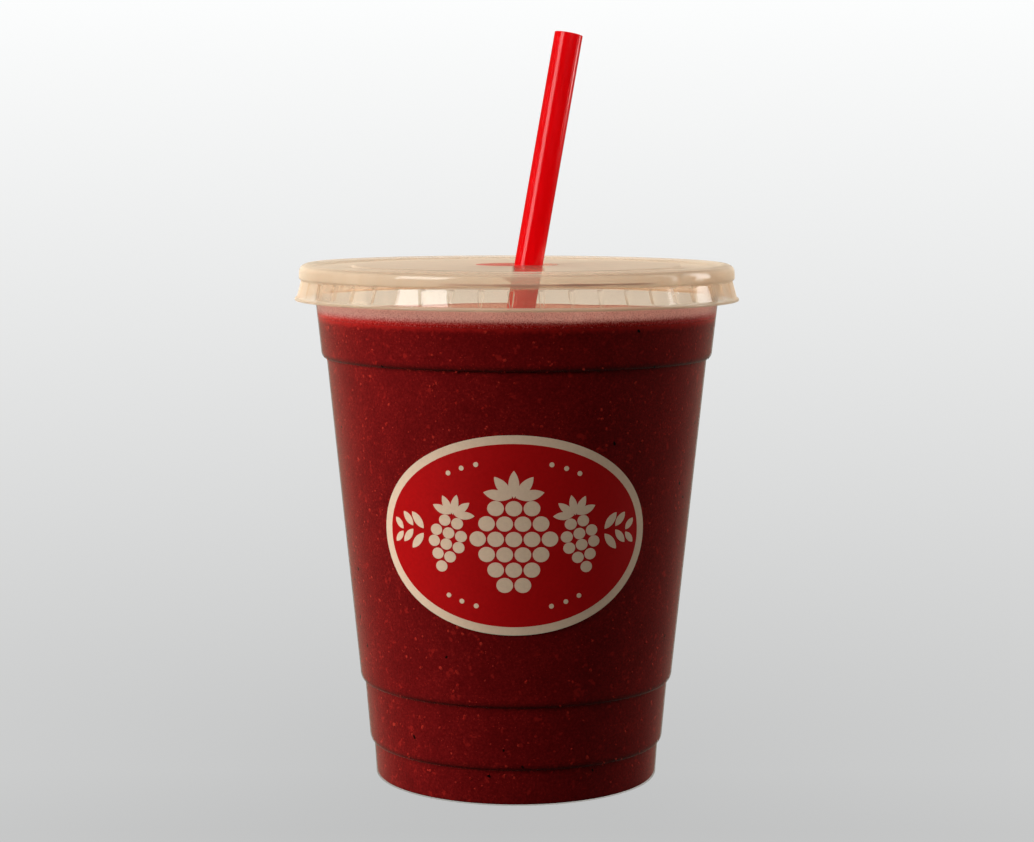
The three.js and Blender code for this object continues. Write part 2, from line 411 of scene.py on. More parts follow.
def drink_material():
    """Dark, cloudy pulp with brighter specks and clots, a painted lighter band near its ragged upper
    edge that stands in for light coming through the froth, and pale bubbles on top, inside the ring
    that touches the wall."""
    n = Nodes("raspberry_drink")
    height = n.coordinate("z")
    clouds = n.noise(150, 4, 0.6)
    grain = n.noise(1900, 3, 0.75)
    mottle = n.math("ADD", n.math("MULTIPLY", clouds, 0.24), n.math("MULTIPLY", grain, 0.76))
    deep = n.ramp(
        mottle,
        (0.36, (0.128, 0.0042, 0.005)),
        (0.5, (0.18, 0.006, 0.007)),
        (0.64, (0.25, 0.0105, 0.0105)),
    )
    speck = n.add("TexVoronoi", Vector=n.position(), Scale=1250.0, Randomness=1.0)
    pulp = n.math("MULTIPLY", n.span(speck, 0.26, 0.1), n.span(clouds, 0.4, 0.6, 0.1, 0.7))
    lively = n.blend(pulp, deep, (0.42, 0.02, 0.014, 1))
    clots = n.math("MULTIPLY", n.span(n.noise(520, 2, 0.6), 0.6, 0.72, smooth=True), 0.5)
    lively = n.blend(clots, lively, (0.46, 0.02, 0.016, 1))
    ragged = n.math("MULTIPLY", n.math("SUBTRACT", n.noise(1100, 3, 0.7), 0.5), 0.0022)
    edge = n.math("ADD", height, ragged)
    # Painted light: the drink is lighter just below its ragged upper edge, standing in for light that
    # comes in through the froth.
    painted_light_low, painted_light_high = DRINK_TOP - 2.4, DRINK_TOP - 0.8
    painted_light_mask = n.span(edge, painted_light_low * MM, painted_light_high * MM, smooth=True)
    with_painted_light = n.blend(n.math("MULTIPLY", painted_light_mask, 0.7), lively, (0.56, 0.018, 0.016, 1))
    flat = n.add("VectorMath", settings={"operation": "MULTIPLY"}, i0=n.position(), i1=(1, 1, 0))
    from_axis = n.add("VectorMath", out=1, settings={"operation": "LENGTH"}, i0=flat)
    skin = wall_radius(DRINK_TOP) - DRINK_INSET
    inside = n.span(from_axis, (skin - 0.7) * MM, (skin - 0.3) * MM, 1.0, 0.0)
    on_top = n.span(height, (DRINK_TOP - 2.4) * MM, (DRINK_TOP - 2.0) * MM)
    bubbles = n.ramp(
        n.noise(1800, 3, 0.7),
        (0.38, (0.36, 0.15, 0.13)),
        (0.5, (0.5, 0.26, 0.23)),
        (0.64, (0.7, 0.45, 0.41)),
    )
    colour = n.blend(n.math("MULTIPLY", inside, on_top), with_painted_light, bubbles)
    uneven = n.bump(n.noise(900, 4, 0.6), 0.12, 0.0003)
    return n.done(n.principled(colour, n.span(grain, 0.3, 0.7, 0.5, 0.65), 0.0, uneven))


def straw_material():
    """Glossy red plastic with faint drawn streaks, that lets a little light through."""
    n = Nodes("red_straw")
    drawn_out = n.add("Mapping", Vector=n.position(), Scale=(1.0, 1.0, 0.08))
    streaks = n.noise(900, 2, vector=drawn_out)
    colour = n.blend(n.span(streaks, 0.3, 0.7), (0.76, 0.0006, 0.0025, 1), (0.82, 0.001, 0.004, 1))
    roughness = n.span(streaks, 0.3, 0.7, 0.12, 0.18)
    shader = n.principled(colour, roughness, 0.34, n.bump(streaks, 0.08, 0.0002), IOR=1.5)
    glow = n.add("BsdfTranslucent", Color=(0.9, 0.001, 0.004, 1))
    return n.done(n.mix(0.3, shader, glow))


def paper_material(name, dark, light, sheen):
    """One ink of the printed sticker, with a fine mottle and a satin coat."""
    n = Nodes(name)
    fibre = n.noise(1400, 4, 0.65)
    colour = n.blend(n.span(fibre, 0.3, 0.7), (*dark, 1), (*light, 1))
    roughness = n.span(fibre, 0.3, 0.7, sheen - 0.05, sheen + 0.05)
    return n.done(n.principled(colour, roughness, 0.3, n.bump(fibre, 0.15, 0.0001)))


def fleck_material(name, dark, light):
    """Matte, blotchy fruit: pulp or a seed."""
    n = Nodes(name)
    blotch = n.noise(800, 2)
    colour = n.blend(n.span(blotch, 0.4, 0.6), (*dark, 1), (*light, 1))
    roughness = n.span(blotch, 0.3, 0.7, 0.45, 0.6)
    return n.done(n.principled(colour, roughness, 0.0, n.bump(blotch, 0.2, 0.0001)))


def froth_material():
    """A film of fine pink bubbles on the inside of the wall, that turns into red drink through a
    speckled edge below and is paler towards the lid. The red is painted bright, as painted light
    coming in through the froth."""
    n = Nodes("froth_film")
    height = n.coordinate("z")
    fine = n.noise(3800, 3, 0.75)
    patches = n.noise(420, 3, 0.6)
    pink = n.ramp(
        fine,
        (0.36, (0.62, 0.36, 0.34)),
        (0.5, (0.82, 0.52, 0.49)),
        (0.64, (0.98, 0.7, 0.66)),
    )
    upper = n.span(height, (DRINK_TOP + 1.4) * MM, (FROTH_TOP - 0.2) * MM, 0.0, 0.45)
    paler = n.math("MULTIPLY", upper, n.span(patches, 0.35, 0.6))
    pink = n.blend(paler, pink, (0.86, 0.6, 0.54, 1))
    grains = n.math("MULTIPLY", n.math("SUBTRACT", fine, 0.5), 1.9)
    rising = n.span(height, (DRINK_TOP - 0.5) * MM, (DRINK_TOP + 1.1) * MM)
    bubbly = n.math("ADD", rising, grains, clamp=True)
    # Painted light: the drink's red at the film's lower edge is made bright, standing in for light that
    # comes in through the froth.
    red = n.blend(n.span(fine, 0.35, 0.65), (0.46, 0.012, 0.011, 1), (0.74, 0.026, 0.022, 1))
    colour = n.blend(n.math("POWER", bubbly, 1.4), red, pink)
    wet = n.principled(colour, 0.6, 0.1, n.bump(fine, 0.2, 0.0002))
    passing = n.add("BsdfTranslucent", Color=n.blend(0.5, pink, (0.66, 0.58, 0.58, 1)))
    film = n.mix(n.math("MULTIPLY", bubbly, 0.56), wet, passing)
    showing = n.span(height, (DRINK_TOP - 1.4) * MM, (DRINK_TOP - 0.4) * MM, 0.0, 1.4)
    alpha = n.math("ADD", showing, n.math("SUBTRACT", grains, 0.3), clamp=True)
    cover = n.math("MULTIPLY", alpha, n.span(patches, 0.3, 0.55, 0.9, 0.98))
    return n.done(n.mix(cover, n.add("BsdfTransparent", Color=grey(1)), film))


def pool_and_painted_reflection_material():
    """Thin drink in the pool, thick to the left of the straw and thinner to the right, and, denser
    and darker, a painted reflection of the drink in the seam under the lid's bead."""
    n = Nodes("drink_pool_and_painted_reflection")
    blot = n.noise(420, 3, 0.6)
    pool = n.span(n.coordinate("x"), -2 * MM, 6 * MM, 0.5, 0.18)
    # Painted reflection: in the seam under the bead the line of drink is dense and darker.
    painted_reflection_mask = n.span(n.coordinate("z"), (WELL_Z - 0.4) * MM, (WELL_Z - 0.5) * MM)
    cover = n.math("MAXIMUM", pool, n.math("MULTIPLY", painted_reflection_mask, 0.95))
    alpha = n.math("MULTIPLY", cover, n.span(blot, 0.3, 0.6, 0.8, 1.0), clamp=True)
    thin = n.blend(blot, (0.66, 0.06, 0.05, 1), (0.8, 0.15, 0.12, 1))
    colour = n.blend(painted_reflection_mask, thin, (0.5, 0.05, 0.04, 1))
    return n.done(n.principled(colour, 0.35, 0.1, None, Alpha=alpha))


# ---- cup ------------------------------------------------------------------------------------


def build_cup():
    """The clear cup: foot ring, stepped wall and rolled rim, turned as one thin closed sheet."""
    rim_bottom = RIM_TOP - RIM_HEIGHT
    wall_top = BANDS[-1][2]
    foot_outer = BANDS[0][1] - FOOT_ROUND
    foot_inner = foot_outer - FOOT_WIDTH
    underside = rounded(
        [
            (0, FLOOR_RISE, 0),
            (foot_inner - 0.5, FLOOR_RISE, 0.3),
            (foot_inner, 0, 0.2),
            (foot_outer + FOOT_ROUND, 0, FOOT_ROUND),
            (BANDS[0][1], 1.2, 0),
        ]
    )
    rim = rounded(
        [
            (wall_top, rim_bottom - 0.2, 0),
            (wall_top + 0.1, rim_bottom + 0.3, 0.3),
            (wall_top + 1.0, rim_bottom, 0.4),
            (RIM_RADIUS, rim_bottom, 1.2),
            (RIM_RADIUS, RIM_TOP, 1.4),
            (wall_top - WALL, RIM_TOP, 1.1),
            (wall_top - WALL, rim_bottom, 0),
        ]
    )
    outside = wall_profile(0, 0, 1.2, rim_bottom - 0.2)[1:-1]
    inside = wall_profile(WALL, LEDGE_LIFT, CUP_FLOOR, rim_bottom)[:-1]
    foot_inside = BANDS[0][1] - WALL
    floor = rounded([(foot_inside, 5, 0), (foot_inside, CUP_FLOOR, 1.0), (0, CUP_FLOOR, 0)])
    profile = underside + outside + rim + inside[:0:-1] + floor
    vertices, faces = turned(profile)
    return add_piece("cup_shell", vertices, faces, cup_material(), replaces="cup")


# ---- drink ----------------------------------------------------------------------------------


def cut_up(points, step):
    """The outline, without its last point, with as many cuts as whole steps of height fit."""
    result = []
    for (r0, z0), (r1, z1) in zip(points, points[1:]):
        cuts = max(1, int((z1 - z0) / step))
        result += [(r0 + (r1 - r0) * k / cuts, z0 + (z1 - z0) * k / cuts) for k in range(cuts)]
    return result


def build_drink():
    """The drink up to its level, which reaches into the cup's wall and floor."""
    side = wall_profile(DRINK_INSET, LEDGE_LIFT / 2, DRINK_BOTTOM + 0.9, DRINK_TOP - 0.6)
    heel_radius = BANDS[0][1] - DRINK_INSET - 0.12
    rim_radius = wall_radius(DRINK_TOP) - DRINK_INSET
    heel = rounded([(0, DRINK_BOTTOM, 0), (heel_radius, DRINK_BOTTOM, 0.45), (*side[0], 0)])
    brow = rounded(
        [
            (*side[-1], 0),
            (rim_radius, DRINK_TOP + 0.25, 0.5),
            (rim_radius - 1.6, DRINK_TOP - 0.1, 0.6),
            (rim_radius - 4, DRINK_TOP, 0),
        ]
    )
    top = [(radius, DRINK_TOP) for radius in np.linspace(rim_radius - 5, 0, 26)]
    vertices, faces = turned(heel[:-1] + cut_up(side, 2.5) + brow + top)
    heave_froth(vertices)
    look = drink_material()
    return add_piece(
        "smoothie_body", vertices, faces, look, sharp=60, replaces="smoothie"
    )


def heave_froth(vertices):
    """Lifts the drink's top into low, soft mounds, and lets it fall a little to the back."""
    full_turn = 2 * math.pi
    waves = [
        (rng.uniform(0.1, 0.7), rng.uniform(0, full_turn), rng.uniform(0, full_turn))
        for _ in range(9)
    ]
    mound, fall = 0.05, 0.85
    on_top = vertices[:, 2] > DRINK_TOP - 0.7
    x, y = vertices[on_top, 0], vertices[on_top, 1]
    height = np.zeros(len(x))
    for frequency, direction, phase in waves:
        height += np.sin(frequency * (x * math.cos(direction) + y * math.sin(direction)) + phase)
    back = np.clip((y + 30) / 70, 0, 1)
    vertices[on_top, 2] += mound * height - fall * back**2 * (3 - 2 * back)


# ---- straw ----------------------------------------------------------------------------------

STRAW_AXIS = (STRAW_HEAD - STRAW_FOOT).normalized()
STRAW_TURN = Vector((0, 0, 1)).rotation_difference(STRAW_AXIS)


def straw_at(z):
    """The point of the straw's axis at height z."""
    return STRAW_FOOT + STRAW_AXIS * ((z - STRAW_FOOT.z) / STRAW_AXIS.z)


def build_straw():
    """The red tube, its walls closed at both ends by rounded edges."""
    length = (STRAW_HEAD - STRAW_FOOT).length
    corners = [
        (STRAW_BORE, length / 2, 0),
        (STRAW_BORE, 0, STRAW_EDGE),
        (STRAW_RADIUS, 0, STRAW_EDGE),
        (STRAW_RADIUS, length, STRAW_EDGE),
        (STRAW_BORE, length, STRAW_EDGE),
        (STRAW_BORE, length / 2, 0),
    ]
    profile = rounded(corners, steps=5)[:-1]
    vertices, faces = turned(profile, whole_turn(72), closed=True)
    placed = [STRAW_FOOT + STRAW_TURN @ Vector(v) for v in vertices]
    return add_piece("straw_tube", placed, faces, straw_material(), replaces="straw")


# ---- lid ------------------------------------------------------------------------------------


def lid_profile():
    """The lid's outer outline, from the lip over the bead to the slot in the well."""
    return rounded(
        [
            (LIP_RADIUS - 0.35, LIP_BOTTOM + 0.02, 0),
            (LIP_RADIUS, LIP_BOTTOM, 0.16),
            (LIP_RADIUS, LIP_BOTTOM + 0.55, 0.25),
            (LIP_RADIUS - 0.5, LIP_BOTTOM + 0.75, 0.2),
            (BEAD_RADIUS - 0.4, SKIRT_TOP, 0.14),
            (BEAD_RADIUS + 0.1, SKIRT_TOP + 0.5, 0.14),
            (BEAD_RADIUS, LID_TOP - 0.9, 1.0),
            (CREST_RADIUS + 0.6, LID_TOP, 1.2),
            (CREST_RADIUS - 0.9, LID_TOP, 0.7),
            (CHANNEL_RADIUS, CHANNEL_Z, 0.8),
            (DISC_RADIUS + 0.5, CHANNEL_Z, 0.4),
            (DISC_RADIUS - 0.1, DISC_Z, 0.3),
            (WELL_RADIUS + 0.1, DISC_Z, 0.3),
            (WELL_RADIUS - 0.7, WELL_Z, 0.4),
            (SLOT_RADIUS, WELL_Z, 0),
        ]
    )


def offset_outline(points, distance):
    """The outline moved to its right-hand side by `distance`."""
    line = np.array(points)
    along = np.gradient(line, axis=0)
    along /= np.linalg.norm(along, axis=1)[:, None]
    return [tuple(p) for p in line + distance * np.column_stack([-along[:, 1], along[:, 0]])]


def subdivided(points, longest):
    """The outline with every stretch cut to at most `longest`."""
    result = []
    for start, end in zip(points, points[1:]):
        cuts = max(1, math.ceil(math.dist(start, end) / longest))
        first, step = np.array(start), (np.array(end) - np.array(start)) / cuts
        result += [tuple(first + step * k) for k in range(cuts)]
    return result + [points[-1]]


def tooth_shape(radius, z):
    """Half width and depth of the teeth in the row of the skirt at this radius and height. They
    narrow downwards, start at a sharp step under the bead and end in a rounded tip."""
    down = (SKIRT_TOP - z) / TOOTH_HEIGHT
    if radius < BEAD_RADIUS - 2 or down < 0 or down > 1:
        return (TOOTH_HALF_WIDTH if down < 0.5 else TOOTH_TIP), 0.0
    half = TOOTH_HALF_WIDTH + (TOOTH_TIP - TOOTH_HALF_WIDTH) * down**1.3
    step, tip = min(1.0, down / 0.08), min(1.0, (1 - down) / 0.14)
    return half, TOOTH_DEPTH * step * tip**0.5


TOOTH_STEPS = (-1.0, -0.78, -0.56, 0.0, 0.56, 0.78, 1.0)  # columns over a tooth, in half widths
TOOTH_DENT = (0.0, 0.5, 1.0, 1.0, 1.0, 0.5, 0.0)  # how deep each of them is pressed
BETWEEN = (0.2, 0.5, 0.8)  # columns from one tooth to the next


def tooth_columns(radius, z):
    """Column angles that follow both edges of every tooth."""
    pitch = 2 * math.pi / TEETH
    half = tooth_shape(radius, z)[0] / BEAD_RADIUS
    steps = [half * u for u in TOOTH_STEPS] + [half + (pitch - 2 * half) * u for u in BETWEEN]
    starts = TOOTH_TURN - math.pi / 2 + pitch * np.arange(TEETH)
    return (starts[:, None] + np.array(steps)[None, :]).ravel()


def press_teeth(vertices, profile):
    """Presses a tongue-shaped dent into the skirt at every tooth."""
    dents = np.tile(TOOTH_DENT + (0.0,) * len(BETWEEN), TEETH)
    grid = vertices.reshape(len(profile), len(dents), 3)
    for row, (radius, z) in zip(grid, profile):
        row[:, :2] *= (1 - tooth_shape(radius, z)[1] * dents / radius)[:, None]


def flap(index):
    """One of the four pointed flaps of the cross slot, bent down until it clears the straw."""
    middle = math.radians(45 + 90 * index)
    half_angle = math.radians(44)
    straw = straw_at(WELL_Z)
    toward = straw.x * math.cos(middle) + straw.y * math.sin(middle)
    across = straw.x**2 + straw.y**2 - toward**2
    reach = toward + math.sqrt((STRAW_RADIUS + FLAP_GAP) ** 2 - across)
    bend = math.acos(min(1.0, (SLOT_RADIUS - max(reach, 0.6)) / SLOT_RADIUS))
    rows, columns = 9, 13
    top, bottom = [], []
    for i in range(rows):
        share = i / (rows - 1)
        for j in range(columns):
            turn = half_angle * (2 * j / (columns - 1) - 1)
            root = SLOT_RADIUS * math.cos(turn)
            inward = root * share
            slope = bend * min(1.0, 0.25 + share * 1.5)
            out = root - inward * math.cos(slope)
            side = SLOT_RADIUS * math.sin(turn) * (1 - share)
            drop = inward * math.sin(slope)
            x = out * math.cos(middle) - side * math.sin(middle)
            y = out * math.sin(middle) + side * math.cos(middle)
            top.append((x, y, WELL_Z - drop))
            bottom.append((x, y, WELL_Z - drop - LID_SHEET * 0.8))
    return sheet_faces(top, bottom, rows, columns)


def sheet_faces(top, bottom, rows, columns):
    """A closed slab from two grids of points, rows by columns."""
    count = rows * columns
    faces = []
    for i in range(rows - 1):
        for j in range(columns - 1):
            a, b = i * columns + j, i * columns + j + 1
            c, d = b + columns, a + columns
            faces.append([a, b, c, d])
            faces.append([a + count, d + count, c + count, b + count])
    border = list(range(columns))
    border += [i * columns + columns - 1 for i in range(1, rows)]
    border += [(rows - 1) * columns + j for j in range(columns - 2, -1, -1)]
    border += [i * columns for i in range(rows - 2, 0, -1)]
    for a, b in zip(border, border[1:] + border[:1]):
        faces.append([b, a, a + count, b + count])
    return np.array(top + bottom), faces


def build_lid(material):
    """The lid as one closed sheet, with finer rows over the skirt for its teeth."""
    coarse = lid_profile()
    outline = []
    for start, end in zip(coarse, coarse[1:]):
        on_skirt = start[1] < SKIRT_TOP and start[0] > BEAD_RADIUS - 1
        outline += subdivided([start, end], 0.3 if on_skirt else 3.0)[:-1]
    outline.append(coarse[-1])
    profile = outline + offset_outline(outline, LID_SHEET)[::-1]
    vertices, faces = turned(profile, tooth_columns, closed=True)
    press_teeth(vertices, profile)
    return add_piece("lid_shell", vertices, faces, material, sharp=35, replaces="lid")


def build_flaps(material):
    vertices, faces = merge([flap(i) for i in range(4)])
    return add_piece("lid_flaps", vertices, faces, material)


def pool_mesh():
    """A thin pool of drink that fills the lid's well round the straw."""
    low, high = WELL_Z + 0.03, DISC_Z - 0.06
    middle = straw_at(high)
    offset = Vector((middle.x, middle.y, 0))
    count = 96
    rings = []
    for z, hole in ((low, STRAW_RADIUS + 0.1), (high, STRAW_RADIUS + 0.03)):
        well = WELL_RADIUS - 0.75 + 0.8 * (z - WELL_Z) / (DISC_Z - WELL_Z) - 0.06
        for inner in (False, True):
            points = []
            for turn in whole_turn(count):
                aim = Vector((math.cos(turn), math.sin(turn), 0))
                along = offset.dot(aim)
                reach = math.sqrt(well**2 - offset.length_squared + along**2) - along
                centre = Vector((middle.x, middle.y, z))
                points.append(tuple(centre + aim * (hole if inner else reach)))
            rings.append(points)
    outer_low, inner_low, outer_high, inner_high = rings
    loop = [outer_low, outer_high, inner_high, inner_low]
    return [p for ring in loop for p in ring], ring_faces(4, count)


def ring_faces(rings, count):
    """Faces between closed rings of `count` points, the last ring joined to the first."""
    faces = []
    for a in range(rings):
        b = (a + 1) % rings
        for i in range(count):
            j = (i + 1) % count
            faces.append([a * count + i, a * count + j, b * count + j, b * count + i])
    return faces


# The line in the seam is a painted reflection of the red drink in the crease under the lid's bead.
PAINTED_REFLECTION_FROM, PAINTED_REFLECTION_TO = math.radians(-20), math.radians(38)  # round from the front, to the right
PAINTED_REFLECTION_Z = 116.25


def painted_reflection_mesh():
    """A painted reflection of the drink: a thin dark red line between the cup's rim and the lid, round
    the front and right only, tapered to its ends.
    """
    count, sides = 60, 6
    points, faces = [], []
    for i in range(count):
        share = i / (count - 1)
        turn = PAINTED_REFLECTION_FROM + (PAINTED_REFLECTION_TO - PAINTED_REFLECTION_FROM) * share
        swell = math.sin(math.pi * share) ** 0.5 * (1 + 0.2 * math.sin(23 * share)) + 0.02
        for k in range(sides):
            side = 2 * math.pi * k / sides
            radius = RIM_RADIUS + 0.17 + 0.1 * math.cos(side) * swell
            z = PAINTED_REFLECTION_Z + 0.26 * math.sin(side) * swell
            points.append((radius * math.sin(turn), -radius * math.cos(turn), z))
    for i in range(count - 1):
        for k in range(sides):
            j = (k + 1) % sides
            faces.append([i * sides + k, i * sides + j, (i + 1) * sides + j, (i + 1) * sides + k])
    faces.append(list(range(sides))[::-1])
    faces.append([(count - 1) * sides + k for k in range(sides)])
    return points, faces


def build_pool_and_painted_reflection():
    vertices, faces = merge([pool_mesh(), painted_reflection_mesh()])
    return add_piece("drink_pool_and_painted_reflection", vertices, faces, pool_and_painted_reflection_material())


# ---- froth, pulp and seeds ------------------------------------------------------------------


def froth_top(angle):
    """How high the film of froth reaches on the wall. It has a few slow waves, and it sinks
    below the drink's level round the back."""
    front = max(0.0, 0.25 - math.sin(angle)) / 1.25
    waves = 0.16 * math.sin(7 * angle + 1) + 0.1 * math.sin(17 * angle + 2)
    return DRINK_TOP - 1.3 + (FROTH_TOP - DRINK_TOP + 1.2) * front**0.3 + waves * front


def build_froth():
    """The film of fine bubbles that clings to the wall between the drink and the lid."""
    inset, rows = DRINK_INSET - 0.05, 12
    low = DRINK_TOP - 1.5
    angles = whole_turn(ROUND)
    shares = np.linspace(0, 1, rows)
    loop = [(share, inset) for share in shares]
    loop += [(share, inset + FROTH_FILM) for share in shares[::-1]]
    vertices, faces = turned([(1, 0)] * len(loop), angles, closed=True)
    grid = vertices.reshape(len(loop), ROUND, 3)
    for row, (share, inward) in zip(grid, loop):
        for point, angle in zip(row, angles):
            z = low + share * (froth_top(angle) - low)
            radius = wall_radius(z) - inward
            point[:] = radius * math.cos(angle), radius * math.sin(angle), z
    return add_piece("froth_film", vertices, faces, froth_material())


def blob(centre, axes, sizes, rings):
    """A lumpy closed pebble: `rings` rings of six points between two poles."""
    sides = 6
    points, faces = [(0, 0, -1)], []
    for i in range(1, rings + 1):
        latitude = -math.pi / 2 + math.pi * i / (rings + 1)
        for j in range(sides):
            longitude = 2 * math.pi * (j + 0.5 * (i % 2)) / sides
            out = rng.uniform(0.8, 1.15) * math.cos(latitude)
            points.append((out * math.cos(longitude), out * math.sin(longitude), math.sin(latitude)))
    points.append((0, 0, 1))
    for j in range(sides):
        a, b = 1 + j, 1 + (j + 1) % sides
        faces.append([0, b, a])
        for _ in range(rings - 1):
            faces.append([a, b, b + sides, a + sides])
            a, b = a + sides, b + sides
        faces.append([a, b, len(points) - 1])
    scaled = [axis * size for axis, size in zip(axes, sizes)]
    body = [sum((axis * part for axis, part in zip(scaled, point)), centre) for point in points]
    return [tuple(p) for p in body], faces


def wall_spot(angle, z, depth):
    """A point at the drink's skin, `depth` inside it, and the outward and sideways axes."""
    radius = wall_radius(z) - DRINK_INSET - depth
    outward = Vector((math.cos(angle), math.sin(angle), 0))
    sideways = Vector((-outward.y, outward.x, 0))
    return Vector((radius * outward.x, radius * outward.y, z)), outward, sideways


def scattered(count, sizes_of, rings, depth):
    """Up to `count` blobs over the drink's skin, as dense low down as high up, where the cup is
    wider. `sizes_of` draws a blob's size across the wall, sideways and up."""
    parts = []
    for _ in range(count):
        z = rng.uniform(PULP_LOWEST, DRINK_TOP - 1.6)
        if rng.random() > wall_radius(z) / WIDEST:
            continue
        centre, outward, across = wall_spot(rng.uniform(0, 2 * math.pi), z, depth)
        up = Vector((0, 0, 1))
        lean = rng.uniform(-1.2, 1.2)
        side = across * math.cos(lean) + up * math.sin(lean)
        tall = up * math.cos(lean) - across * math.sin(lean)
        parts.append(blob(centre, (outward, side, tall), sizes_of(), rings))
    return merge(parts)


def pulp_sizes():
    """Mostly tiny flecks, with a few large ones."""
    size = 0.08 + 0.36 * rng.random() ** 4
    return 0.04 + size * 0.16, size, size * rng.uniform(0.75, 1.5)


def seed_sizes():
    size = rng.uniform(0.22, 0.38)
    return 0.1, size, size * rng.uniform(1.0, 1.7)


def build_pulp():
    vertices, faces = scattered(PULP_COUNT, pulp_sizes, 2, 0.02)
    look = fleck_material("fruit_pulp", (0.3, 0.011, 0.009), (0.46, 0.03, 0.02))
    return add_piece("fruit_pulp", vertices, faces, look, sharp=80)


def build_seeds():
    vertices, faces = scattered(SEED_COUNT, seed_sizes, 4, 0.0)
    look = fleck_material("fruit_seed", (0.006, 0.001, 0.001), (0.016, 0.003, 0.002))
    return add_piece("fruit_seeds", vertices, faces, look, sharp=80)


# ---- label ----------------------------------------------------------------------------------


def on_wall(along, z, lift):
    """The point `along` millimetres round the body from the label's middle, at height z."""
    radius = body_radius(z)
    turn = along / radius + LABEL_TURN
    return ((radius + lift) * math.sin(turn), -(radius + lift) * math.cos(turn), z)


def curved_plate(rings, low, high):
    """A closed thin plate on the wall from rings of (along, z) points, the first one outermost.
    The last ring closes on the plate's middle."""
    count = len(rings[0])
    points = [on_wall(s, z, lift) for lift in (high, low) for ring in rings for s, z in ring]
    layer = count * len(rings)
    middles = len(points), len(points) + 1
    middle = np.mean(rings[-1], axis=0)
    points += [on_wall(*middle, lift) for lift in (high, low)]
    faces = []
    for i in range(count):
        j = (i + 1) % count
        for k in range(len(rings) - 1):
            a, b = k * count + i, k * count + j
            faces.append([a, b, b + count, a + count])
            faces.append([a + layer, a + count + layer, b + count + layer, b + layer])
        a, b = (len(rings) - 1) * count + i, (len(rings) - 1) * count + j
        faces.append([a, b, middles[0]])
        faces.append([b + layer, a + layer, middles[1]])
        faces.append([i, i + layer, j + layer, j])
    return points, faces


def ellipse_ring(half_width, half_height, count):
    turns = whole_turn(count)
    return [(half_width * math.cos(t), LABEL_Z + half_height * math.sin(t)) for t in turns]


def nested_ovals(inset, count=160, steps=14):
    """Rings of the label's oval, the first one `inset` inside its edge."""
    half_width, half_height = LABEL_HALF_WIDTH - inset, LABEL_HALF_HEIGHT - inset
    shares = np.linspace(1, 1 / steps, steps)
    return [ellipse_ring(half_width * k, half_height * k, count) for k in shares]


def build_label(cream):
    """The cream sticker, and the red field inside its border."""
    points, faces = curved_plate(nested_ovals(0), 0.01, LABEL_SHEET)
    add_piece("label_sheet", points, faces, cream, replaces="label")
    points, faces = curved_plate(nested_ovals(LABEL_BORDER), LABEL_SHEET - 0.02, LABEL_SHEET + 0.02)
    red = paper_material("label_red", (0.5, 0.003, 0.004), (0.58, 0.005, 0.006), 0.4)
    add_piece("label_field", points, faces, red)


def tilted(along, up, tilt):
    """The point (along, up) turned by `tilt`."""
    cos, sin = math.cos(tilt), math.sin(tilt)
    return along * cos - up * sin, along * sin + up * cos


def disc_rings(centre, half_width, half_height, tilt=0.0, point=0.0):
    """Three nested rings of a round or leaf shape about `centre`, pointed at its two ends by
    `point` and turned by `tilt`."""
    outline = []
    for t in whole_turn(28):
        narrow = abs(math.sin(t)) ** (point * 1.4)
        outline.append(tilted(half_width * math.cos(t), half_height * math.sin(t) * narrow, tilt))
    return [[(centre[0] + s * k, centre[1] + z * k) for s, z in outline] for k in (1, 0.66, 0.33)]


def berry_plates(centre, size, tilt, rows):
    """A berry of round drupelets, so many in each row, with a crown of five leaves, as flat
    plates on the label."""
    plates = []
    step = 3.5 * size  # from one drupelet to the next
    row_step = step * 0.87

    def placed(along, up):
        s, z = tilted(along, up, tilt)
        return centre[0] + s, centre[1] + z

    for row, count in enumerate(rows):
        up = (len(rows) / 2 - row - 0.5) * row_step
        for i in range(count):
            spot = placed((i - (count - 1) / 2) * step, up)
            plates.append(disc_rings(spot, 1.62 * size, 1.5 * size))
    crown = len(rows) / 2 * row_step + 0.5 * size
    for turn in (12, 51, 90, 129, 168):
        lean = math.radians(turn)
        spot = placed(3.3 * size * math.cos(lean), crown + 2.7 * size * math.sin(lean))
        plates.append(disc_rings(spot, 2.7 * size, 1.05 * size, lean + tilt, 0.6))
    return plates


def sprig_plates(side):
    """Three pairs of leaves that shrink towards one end of the label."""
    plates = []
    for i in range(3):
        along = side * (22.0 + 2.5 * i)
        middle = LABEL_Z - 0.8 + 1.8 * math.sin((i + 0.8) / 3.4 * math.pi)
        for flip in (-1, 1):
            spot = (along, middle + flip * (2.3 - 0.4 * i))
            lean = side * flip * math.radians(50)
            plates.append(disc_rings(spot, 2.3 - 0.35 * i, 0.95 - 0.1 * i, lean, 0.5))
    return plates


def dot_plates(side):
    """Small dots in line with the border, above and below the berries."""
    plates = []
    for turn in (55, 63, 71):
        angle = math.radians(turn)
        for flip in (-1, 1):
            spot = (side * 25.2 * math.cos(angle), LABEL_Z + flip * 16.6 * math.sin(angle))
            plates.append(disc_rings(spot, 0.55, 0.55))
    return plates


def build_print(cream):
    """A plain pattern in cream on the red field: a berry between two smaller ones, a leafy
    sprig at each side, and dots."""
    plates = berry_plates((0, LABEL_Z - 2.4), 1.12, 0, (3, 4, 5, 4, 3, 2))
    for side in (-1, 1):
        plates += berry_plates((side * 15.0, LABEL_Z - 2.2), 0.84, side * 0.22, (2, 3, 3, 2, 1))
        plates += sprig_plates(side) + dot_plates(side)
    vertices, faces = merge([curved_plate(p, LABEL_SHEET, LABEL_SHEET + INK) for p in plates])
    return add_piece("label_print", vertices, faces, cream)


